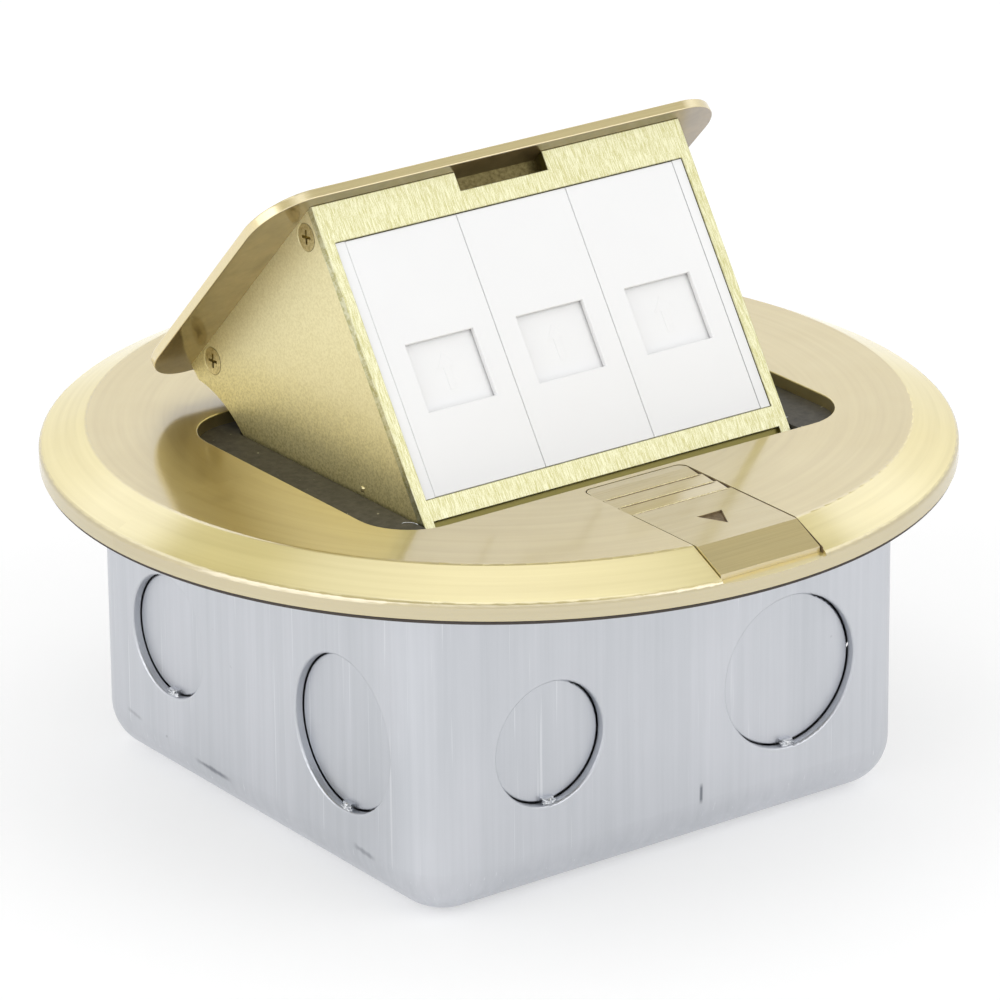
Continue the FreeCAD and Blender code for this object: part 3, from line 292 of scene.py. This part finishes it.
zinc = Mat("zinc_steel", lin(196, 198, 200), 1.0, 0.35)
zn = zinc.noise(zinc.coords((1400, 1400, 1400)), 1.0, 3.0)
zinc.bump(zn, 0.00002, 0.3)
zinc.colour(zinc.mix(zinc.range(zn, 0.35, 0.7, 0.0, 1.0), lin(204, 206, 208), lin(172, 175, 180)))
spring = Mat("spring_steel", lin(150, 150, 152), 1.0, 0.3)
sn = spring.noise(spring.coords((2500, 2500, 2500)), 1.0, 2.0)
spring.colour(spring.mix(sn, lin(160, 160, 162), lin(132, 132, 136)))
screw = Mat("screw_brass", lin(224, 210, 158), 1.0, 0.36)
sc = screw.noise(screw.coords((2200, 2200, 2200)), 1.0, 3.0)
screw.bump(sc, 0.00002, 0.35)
screw.colour(screw.mix(screw.range(sc, 0.35, 0.7, 0.0, 1.0), lin(226, 213, 162), lin(186, 172, 120)))
rubber = Mat("gasket_rubber", lin(64, 57, 52), 0.0, 0.8)
rb = rubber.noise(rubber.coords((1800, 1800, 1800)), 1.0, 3.0)
rubber.bump(rb, 0.00003, 0.3)
rubber.colour(rubber.mix(rb, lin(56, 50, 45), lin(76, 68, 61)))
jack = Mat("jack_plastic", lin(40, 40, 42), 0.0, 0.45)
jn = jack.noise(jack.coords((1500, 1500, 1500)), 1.0, 3.0)
jack.bump(jn, 0.00002, 0.25)
jack.colour(jack.mix(jn, lin(34, 34, 36), lin(50, 50, 52)))
gold = Mat("contact_gold", lin(226, 186, 92), 1.0, 0.25)
gn = gold.noise(gold.coords((3000, 3000, 3000)), 1.0, 2.0)
gold.colour(gold.mix(gn, lin(232, 194, 104), lin(204, 162, 74)))

# moulded plastic, very slightly uneven
plastic = Mat("module_plastic", lin(235, 235, 235), 0.0, 0.42)
fine = plastic.noise(plastic.coords((1400, 1400, 1400)), 1.0, 3.0)
plastic.bump(fine, 0.00001, 0.15)
swirl = plastic.noise(plastic.coords((60, 60, 60)), 1.0, 2.0)
plastic.colour(plastic.mix(swirl, lin(237, 237, 237), lin(233, 233, 233)))

# drawn galvanised sheet: faint streaks run up the sides, small marks near the bottom bend
STEEL_A, STEEL_B = lin(194, 197, 202), lin(207, 209, 214)
steel = Mat("galvanised", lin(201, 204, 209), 1.0, 0.4)
sides = steel.noise(steel.coords((520, 520, 10)), 1.0, 4.0, 0.65)
hair = steel.noise(steel.coords((1700, 1700, 26)), 1.0, 2.0, 0.6)
cloud = steel.noise(steel.coords((55, 55, 26)), 1.0, 3.0, 0.5)
both = steel.math("ADD", steel.math("MULTIPLY", sides, 0.45), steel.math("MULTIPLY", cloud, 0.55))
sheet = steel.mix(steel.range(both, 0.36, 0.66, 0.0, 1.0), STEEL_A, STEEL_B)
sheet = steel.mix(steel.range(hair, 0.66, 0.74, 0.0, 0.45), sheet, lin(232, 234, 237))
pit = steel.noise(steel.coords((380, 380, 380)), 1.0, 1.0)
sheet = steel.mix(steel.range(pit, 0.80, 0.84, 0.0, 0.5), sheet, lin(150, 153, 158))


def scuff(chain, a, b, width, depth, tint):
    """A short dark mark from a to b, in metres."""
    a, b = Vector(a), Vector(b)
    way = (b - a).normalized()
    mid = (a + b) / 2
    half = (b - a).length / 2
    v = steel.coords((1, 1, 1))
    off = steel.vec("SUBTRACT", v, tuple(mid))
    t = steel.vec("DOT_PRODUCT", off, tuple(way))
    d2 = steel.math("SUBTRACT", steel.vec("DOT_PRODUCT", off, off), steel.math("MULTIPLY", t, t))
    dist = steel.math("POWER", steel.math("MAXIMUM", d2, 0.0), 0.5)
    wob = steel.math("MULTIPLY", steel.math("SUBTRACT", sides, 0.5), width * 1.5)
    side = steel.range(steel.math("ADD", dist, wob), width * 0.2, width, 1.0, 0.0)
    ends = steel.range(steel.math("ABSOLUTE", t), half * 0.5, half, 1.0, 0.0)
    return steel.mix(steel.math("MULTIPLY", steel.math("MULTIPLY", side, ends), depth), chain, tint)


for a, b, width, depth in (((-0.0509, 0.0188, 0.0074), (-0.0509, 0.0075, 0.0071), 0.0006, 0.75),
                           ((-0.0510, -0.0285, 0.0086), (-0.0510, -0.0350, 0.0080), 0.0006, 0.5),
                           ((0.00485, -0.050, 0.0082), (0.00495, -0.050, 0.0122), 0.0004, 0.85),
                           ((-0.0510, 0.0395, 0.0098), (-0.0510, 0.0345, 0.0090), 0.0005, 0.35),
                           ((0.050, 0.0120, 0.0084), (0.050, 0.0210, 0.0079), 0.0006, 0.6),
                           ((-0.0220, 0.0512, 0.0095), (-0.0150, 0.0512, 0.0088), 0.0006, 0.5)):
    sheet = scuff(sheet, a, b, width, depth, lin(112, 115, 124))
steel.colour(sheet)
steel.roughness(steel.range(cloud, 0.3, 0.7, 0.36, 0.46))
steel.bump(sides, 0.00003, 0.22)

FINISH = {
    "back_box": steel, "gasket": rubber, "cover_flange": cover, "inner_frame": ledge,
    "hinge_bracket_left": zinc, "hinge_bracket_right": zinc, "hinge_pin_left": zinc, "hinge_pin_right": zinc,
    "hinge_spring_left": spring, "hinge_spring_right": spring, "frame_screws": zinc, "latch_keeper": zinc,
    "latch_spring": spring, "latch_slider": latch, "lid_plate": lid, "front_frame": face,
    "left_cheek": cheek, "right_cheek": cheek, "top_bar": bar, "rear_bar": bar,
    "cheek_screws": screw, "lid_screws": screw, "spacer_left": plastic, "spacer_right": plastic,
}
for k in (1, 2, 3):
    FINISH["module_plate_%d" % k] = plastic
    FINISH["shutter_%d" % k] = plastic
    FINISH["jack_body_%d" % k] = jack
    FINISH["jack_contacts_%d" % k] = gold
    FINISH["shutter_spring_%d" % k] = spring
for name, obj in NODES.items():
    obj.data.materials.clear()
    obj.data.materials.append(FINISH[name].m)


# --- small pieces ---------------------------------------------------------------------

def mesh_piece(name, bm, mat, body, smooth=True):
    me = bpy.data.meshes.new(name)
    bmesh.ops.recalc_face_normals(bm, faces=bm.faces)
    bm.to_mesh(me)
    bm.free()
    for poly in me.polygons:
        poly.use_smooth = smooth
    me.materials.append(mat.m)
    obj = bpy.data.objects.new(name, me)
    scene.collection.objects.link(obj)
    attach(obj, body)
    return obj


# the gasket's edge bulges a little under the cover
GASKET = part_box("gasket")
g0, g1, gr = GASKET[0].z, GASKET[1].z, GASKET[1].x
bm = bmesh.new()
turns, rings = 288, []
for i in range(turns):
    a = 2 * math.pi * i / turns
    out = 0.00056 + 0.00005 * math.sin(5 * a + 1.0) + 0.00003 * math.sin(13 * a)
    profile = ((-0.0004, 0.04), (0.55 * out, 0.03), (out, 0.3), (out, 0.7), (0.55 * out, 0.97), (-0.0004, 0.96))
    rings.append([bm.verts.new(((gr + dr) * math.cos(a), (gr + dr) * math.sin(a), g0 + (g1 - g0) * f)) for dr, f in profile])
for i in range(turns):
    a, b = rings[i], rings[(i + 1) % turns]
    for j in range(6):
        bm.faces.new((a[j], a[(j + 1) % 6], b[(j + 1) % 6], b[j]))
mesh_piece("gasket_edge", bm, rubber, "base")


def coil(node, body, way):
    """The node's spring again, as a piece of its own riding on body, with the node itself hidden; way is not used."""
    obj = bpy.data.objects.new(node + "_coil", NODES[node].data.copy())
    scene.collection.objects.link(obj)
    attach(obj, body)
    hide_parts(node)
    way = Vector(way).normalized()
    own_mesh(obj)


coil("latch_spring", "base", (0, -1, 0))
for k in (1, 2, 3):
    coil("shutter_spring_%d" % k, "carrier", (0, 0.553537, 0.832825))


# bright zinc for the knockout burrs, and for the painted glint at the ledge's corners
bright = Mat("burr_and_glint_zinc", lin(222, 224, 227), 1.0, 0.34)
bn = bright.noise(bright.coords((2400, 2400, 2400)), 1.0, 3.0)
bright.bump(bn, 0.00006, 0.6)
bright.colour(bright.mix(bright.range(bn, 0.35, 0.7, 0.0, 1.0), lin(236, 238, 240), lin(178, 181, 187)))


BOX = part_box("back_box")
WALL = {(-1, 0, 0): -BOX[0][0], (1, 0, 0): BOX[1][0], (0, -1, 0): -BOX[0][1], (0, 1, 0): BOX[1][1]}


def burr(name, face, off, r, seed):
    """The torn metal left at the foot of a knockout; face is the way that wall looks."""
    bm = bmesh.new()
    bmesh.ops.create_icosphere(bm, subdivisions=4, radius=1.0)
    for v in bm.verts:
        x, y, z = v.co
        k = (0.30 * math.sin(5.1 * x + seed) * math.cos(4.3 * z + 2 * seed) + 0.22 * math.sin(9.7 * z + 3.1 * seed + 2 * x)
             + 0.12 * math.cos(15 * x - 7 * y + seed))
        v.co *= 1 + k
    wide, deep, high = 1.25 * MM, 0.42 * MM, 0.62 * MM
    out = Vector(face)
    across = Vector((abs(out.y), abs(out.x), 0))
    at = out * (WALL[face] - 0.72 * MM) + across * off * MM + Vector((0, 0, (27.5 - r + 0.18) * MM))
    for v in bm.verts:
        x, y, z = v.co
        # the lump thins out to one side
        z = z * (1.0 - 0.35 * x) + 0.18 * x * x
        v.co = at + across * x * wide + out * y * deep + Vector((0, 0, z * high))
    return mesh_piece(name, bm, bright, "base")


for name, face_way, off, r, seed in (("left_a", (-1, 0, 0), 25.9, 10.85, 0.3), ("left_b", (-1, 0, 0), -25.9, 13.6, 1.7),
                                     ("front_a", (0, -1, 0), -26.3, 10.85, 2.9), ("front_b", (0, -1, 0), 23.7, 13.6, 4.2),
                                     ("right_a", (1, 0, 0), -25.9, 10.85, 5.1), ("right_b", (1, 0, 0), 25.9, 13.6, 6.6),
                                     ("rear_a", (0, 1, 0), -23.7, 13.6, 7.4), ("rear_b", (0, 1, 0), 26.3, 10.85, 8.8)):
    burr("burr_" + name, face_way, off, r, seed)


def rib(name, pts, r, mat, body, sides=8, spread=1.0):
    """A thin ridge along pts (in metres), half sunk in what it lies on."""
    bm = bmesh.new()
    rings = []
    n = len(pts)
    for i, p in enumerate(pts):
        p = Vector(p)
        way = (Vector(pts[min(i + 1, n - 1)]) - Vector(pts[max(i - 1, 0)])).normalized()
        u = way.cross(Vector((0, 0, 1))).normalized()
        v = u.cross(way)
        k = 0.35 if i in (0, n - 1) else 1.0
        rings.append([bm.verts.new(p + (u * math.cos(t) * spread + v * math.sin(t)) * r * k)
                      for t in (2 * math.pi * j / sides for j in range(sides))])
    for a, b in zip(rings, rings[1:]):
        for j in range(sides):
            bm.faces.new((a[j], a[(j + 1) % sides], b[(j + 1) % sides], b[j]))
    bm.faces.new(rings[0])
    bm.faces.new(rings[-1])
    return mesh_piece(name, bm, mat, body)


# a brighter brass for the ridges on the tooth crests: a painted highlight along each crest; the cheek's nick is made in
# it too
crest = Mat("crest_brass", (0.80, 0.70, 0.36, 1), 1.0, 0.3)
cn = crest.noise(crest.coords((2600, 2600, 2600)), 1.0, 2.0)
crest.colour(crest.mix(crest.range(cn, 0.4, 0.65, 0.0, 1.0), (0.88, 0.79, 0.46, 1), (0.62, 0.52, 0.24, 1)))
# a brown that is painted shade: a dark strip on each tooth's step, the lining of the arrow's recess and the slot's
# shadowed side
shade = Mat("painted_shade_brown", lin(112, 92, 56), 0.6, 0.6)
gn2 = shade.noise(shade.coords((1800, 1800, 1800)), 1.0, 3.0, 0.6)
shade.bump(gn2, 0.00003, 0.4)
shade.colour(shade.mix(shade.range(gn2, 0.35, 0.7, 0.0, 1.0), lin(136, 118, 88), lin(102, 85, 60)))

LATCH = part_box("latch_slider")
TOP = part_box("cover_flange")[1].z
x0, x1 = LATCH[0].x + 0.0004, LATCH[1].x - 0.0003
# for each tooth, a bright ridge on its crest and a dark strip on its step just in front: painted highlight and painted
# shade
for k, y in enumerate((-0.0525, -0.0487, -0.0447)):
    steps = 24
    pts = [(x0 + (x1 - x0) * i / steps, y + 0.00001, TOP - 0.00003 + 0.000012 * math.sin(1.9 * i + k)) for i in range(steps + 1)]
    rib("latch_crest_%d" % (k + 1), pts, 0.00009, crest, "latch")
    pts = [(x0 + (x1 - x0) * i / steps, y - 0.00030, TOP - 0.00005 + 0.000008 * math.sin(2.3 * i + k)) for i in range(steps + 1)]
    rib("latch_step_shade_%d" % (k + 1), pts, 0.00006, shade, "latch", spread=2.2)

# the arrow's recess is lined brown inside: painted shade in the recess
tri = [Vector((-3.5, -59.5)), Vector((1.6, -59.5)), Vector((-0.95, -64.5))]
mid = (tri[0] + tri[1] + tri[2]) / 3
bm = bmesh.new()
rows = []
for depth, grow in ((0.49, 0.985), (0.06, 0.985), (0.05, 0.94), (0.36, 0.90), (0.38, 0.5), (0.37, 0.0)):
    rows.append([bm.verts.new(Vector(((mid.x + (q.x - mid.x) * grow) * MM, (mid.y + (q.y - mid.y) * grow) * MM, TOP - depth * MM)))
                 for q in tri])
for a, b in zip(rows, rows[1:]):
    for j in range(3):
        bm.faces.new((a[j], a[(j + 1) % 3], b[(j + 1) % 3], b[j]))
bmesh.ops.remove_doubles(bm, verts=bm.verts, dist=1e-6)
mesh_piece("latch_arrow_shade", bm, shade, "latch", smooth=False)

# shadowed side of the latch's slot
bm = bmesh.new()
wall_x, cols = 9.25, []
path = [(-39.4, 65.0), (-45.0, 65.0), (-52.0, 65.0), (-60.0, 65.0), (-69.6, 65.0), (-73.0, 63.55), (-76.4, 62.1)]
for y, z in path:
    cols.append([bm.verts.new(Vector((x * MM, y * MM, (z - dz) * MM))) for x, dz in
                 ((wall_x - 0.02, 0.10), (wall_x - 0.10, 0.16), (wall_x - 0.12, 1.1), (wall_x + 0.02, 1.1))])
for a, b in zip(cols, cols[1:]):
    for j in range(3):
        bm.faces.new((a[j], a[j + 1], b[j + 1], b[j]))
    bm.faces.new((a[3], a[0], b[0], b[3]))
bm.faces.new(cols[0])
bm.faces.new(cols[-1])
mesh_piece("latch_slot_shadow_line", bm, shade, "base", smooth=False)

# a faint raised arrow moulded on each shutter
for k in (1, 2, 3):
    name = "shutter_%d" % k
    co = [FACE.inverted() @ v.co for v in NODES[name].data.vertices]
    u = (min(c.x for c in co) + max(c.x for c in co)) / 2
    w = (min(c.z for c in co) + max(c.z for c in co)) / 2
    front = min(c.y for c in co)
    shape = [(0, 3.4), (1.9, 0.9), (0.62, 0.9), (0.62, -3.0), (-0.62, -3.0), (-0.62, 0.9), (-1.9, 0.9)]
    bm = bmesh.new()
    base_v, mid_v, top_v = [], [], []
    for du, dv in shape:
        for lst, out, inset in ((base_v, -0.02, 1.0), (mid_v, 0.045, 1.0), (top_v, 0.07, 0.90)):
            at = Vector((u + du * inset * MM, front - out * MM, w + (0.4 + (dv - 0.4) * inset) * MM))
            lst.append(bm.verts.new(FACE @ at))
    n = len(shape)
    for lo_v, hi_v in ((base_v, mid_v), (mid_v, top_v)):
        for i in range(n):
            bm.faces.new((lo_v[i], lo_v[(i + 1) % n], hi_v[(i + 1) % n], hi_v[i]))
    bm.faces.new(top_v)
    bm.faces.new(base_v)
    mesh_piece("shutter_mark_%d" % k, bm, plastic, name, smooth=False)

# a bright curl at the front corners of the ledge, a painted glint on its rounded edge, and a nick low on the left cheek
for side, sx in (("left", -1), ("right", 1)):
    pts = []
    for i in range(15):
        t = math.radians(100 - 105 * i / 14)
        pts.append((sx * (0.0398 - 0.0015 * math.cos(t)), -0.0302 + 0.0019 * math.sin(t), 0.06281 + 0.00002 * math.sin(5 * t)))
    rib("ledge_glint_" + side, pts, 0.00008, bright, "base")
bm = bmesh.new()
bmesh.ops.create_icosphere(bm, subdivisions=3, radius=1.0)
for v in bm.verts:
    x, y, z = v.co
    v.co *= 1 + 0.3 * math.sin(4 * y + 2) * math.cos(3 * z) + 0.15 * math.sin(9 * z + 5 * y)
    v.co = Vector((-0.03785 + v.co.x * 0.00022, -0.0141 + v.co.y * 0.00065, 0.0638 + v.co.z * 0.00055))
mesh_piece("cheek_nick", bm, crest, "carrier")

# --- camera ------------------------------------------------------------------------

A, E, ROLL = -0.6260478, 0.3762914, -0.0096783
DIST, FOCAL = 1.136127, 6698.703
OX, OY = 498.764, 445.162
back = Vector((math.sin(A) * math.cos(E), -math.cos(A) * math.cos(E), math.sin(E)))
right = Vector((math.cos(A), math.sin(A), 0))
up = back.cross(right)
rx = math.cos(ROLL) * right + math.sin(ROLL) * up
ry = -math.sin(ROLL) * right + math.cos(ROLL) * up
centre = -rx * (OX - 500) * DIST / FOCAL + ry * (OY - 500) * DIST / FOCAL + back * DIST + Vector((0, 0, 0.0584))
cam_data = bpy.data.cameras.new("camera")
cam_data.sensor_width = 36.0
cam_data.lens = FOCAL * 36.0 / 1000.0
cam_data.clip_start, cam_data.clip_end = 0.05, 50.0
cam = bpy.data.objects.new("camera", cam_data)
cam.matrix_world = Matrix(((rx.x, ry.x, back.x, centre.x), (rx.y, ry.y, back.y, centre.y), (rx.z, ry.z, back.z, centre.z), (0, 0, 0, 1)))
scene.collection.objects.link(cam)
scene.camera = cam


# --- floor, lights and world ---------------------------------------------------------

bm = bmesh.new()
bmesh.ops.create_grid(bm, x_segments=1, y_segments=1, size=6.0)
floor_mesh = bpy.data.meshes.new("floor")
bm.to_mesh(floor_mesh)
bm.free()
floor = bpy.data.objects.new("floor", floor_mesh)
floor.location = (0, 0, -0.0002)
scene.collection.objects.link(floor)
fm = Mat("floor_pale", (0.62, 0.62, 0.62, 1), 0.0, 0.9, Emission_Color=(1, 1, 1, 1), Emission_Strength=0.4)
floor.data.materials.append(fm.m)


def softbox(name, azimuth, elevation, dist, size, power, tint=(1, 1, 1)):
    """A square light that faces the object; azimuth is turned from the camera's side."""
    a, e = A + math.radians(azimuth), math.radians(elevation)
    way = Vector((math.sin(a) * math.cos(e), -math.cos(a) * math.cos(e), math.sin(e)))
    data = bpy.data.lights.new(name, "AREA")
    data.shape = "RECTANGLE"
    data.size, data.size_y = size
    data.energy = power
    data.color = tint
    obj = bpy.data.objects.new(name, data)
    obj.location = Vector((0, 0, 0.06)) + way * dist
    obj.rotation_mode = "QUATERNION"
    obj.rotation_quaternion = (-way).to_track_quat("-Z", "Y")
    scene.collection.objects.link(obj)
    return obj


softbox("key_left", -52, 20, 1.5, (1.3, 1.1), 4.6)
softbox("fill_right", 60, 35, 1.3, (0.9, 0.8), 2.2)
softbox("top", 0, 84, 1.3, (0.9, 0.9), 1.4)

world = bpy.data.worlds.new("studio")
scene.world = world
world.use_nodes = True
wn, wl = world.node_tree.nodes, world.node_tree.links
tc = wn.new("ShaderNodeTexCoord")
sp = wn.new("ShaderNodeSeparateXYZ")
cr = wn.new("ShaderNodeValToRGB")
mr = wn.new("ShaderNodeMapRange")
mr.inputs["From Min"].default_value = 0.0
mr.inputs["From Max"].default_value = 1.0
wl.new(tc.outputs["Generated"], sp.inputs[0])
wl.new(sp.outputs[2], mr.inputs["Value"])
wl.new(mr.outputs[0], cr.inputs[0])


def sky(el, r, g, b):
    return math.sin(math.radians(el)), (r, g, b, 1)


stops = [sky(0, 0.50, 0.50, 0.50), sky(15, 0.47, 0.47, 0.475), sky(25, 0.56, 0.56, 0.565), sky(33, 0.74, 0.745, 0.76),
         sky(42, 0.72, 0.725, 0.73), sky(47, 0.17, 0.17, 0.165), sky(57, 0.17, 0.17, 0.165), sky(64, 0.46, 0.46, 0.45),
         sky(71, 0.54, 0.54, 0.53), sky(90, 0.48, 0.48, 0.48)]
while len(cr.color_ramp.elements) < len(stops):
    cr.color_ramp.elements.new(0.5)
for el, (at, v) in zip(cr.color_ramp.elements, stops):
    el.position = at
    el.color = v
wl.new(cr.outputs[0], wn["Background"].inputs["Color"])
wn["Background"].inputs["Strength"].default_value = 1.85

scene.view_settings.view_transform = "Standard"
scene.view_settings.look = "None"
scene.view_settings.exposure = 0.0
scene.view_settings.gamma = 1.0
